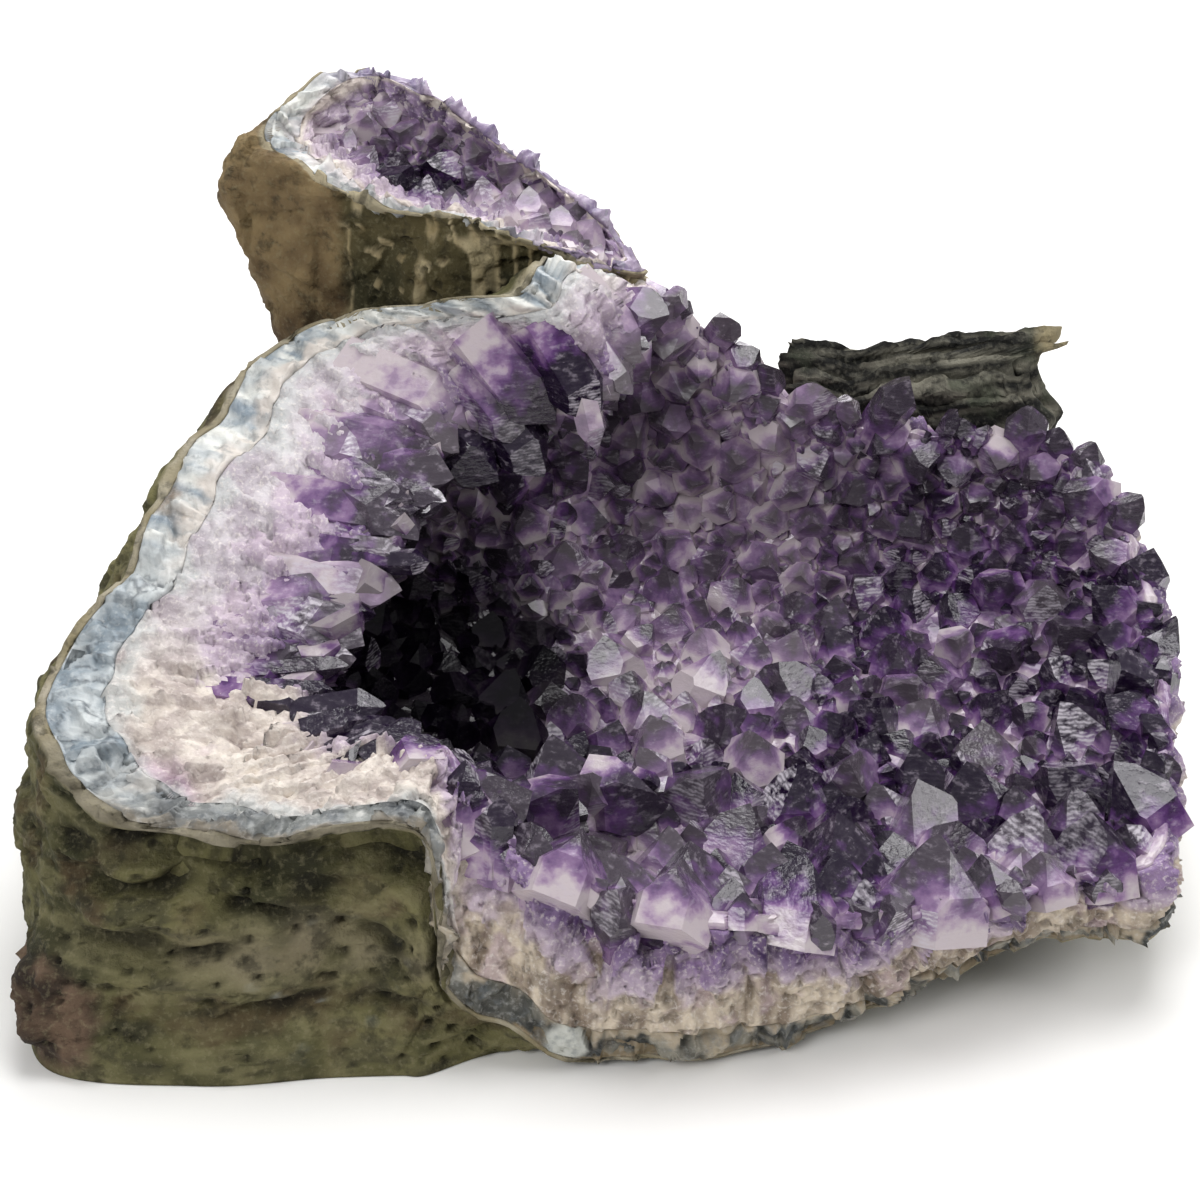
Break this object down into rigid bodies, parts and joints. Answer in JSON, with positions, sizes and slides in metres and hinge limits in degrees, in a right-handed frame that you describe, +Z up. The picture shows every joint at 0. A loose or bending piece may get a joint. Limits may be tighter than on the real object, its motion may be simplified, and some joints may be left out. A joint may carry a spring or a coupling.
{
  "type": "amethyst geode half",
  "caption": "Half of a broken amethyst geode: crystal-lined hollow in milky quartz, agate band and basalt skin, with a small side lobe and a host-rock flake.",
  "frame": {"origin": "on the flat resting face of the underside, near its middle", "axes": "+X to the viewer's right along the stone's width, +Y away from the viewer towards the lobe, +Z up out of the hollow"},
  "size_m": [0.3484, 0.2828, 0.2114],
  "materials": {
    "basalt_skin": "rough",
    "agate": "satin",
    "milky_quartz": "rough",
    "amethyst": "polished",
    "host_basalt": "rough"
  },
  "bodies": {
    "root": {"rock_rind": "basalt_skin", "agate_band": "agate", "milky_quartz": "milky_quartz", "crystal_crust": "amethyst", "basalt_ledge": "host_basalt"}
  },
  "joints": []
}
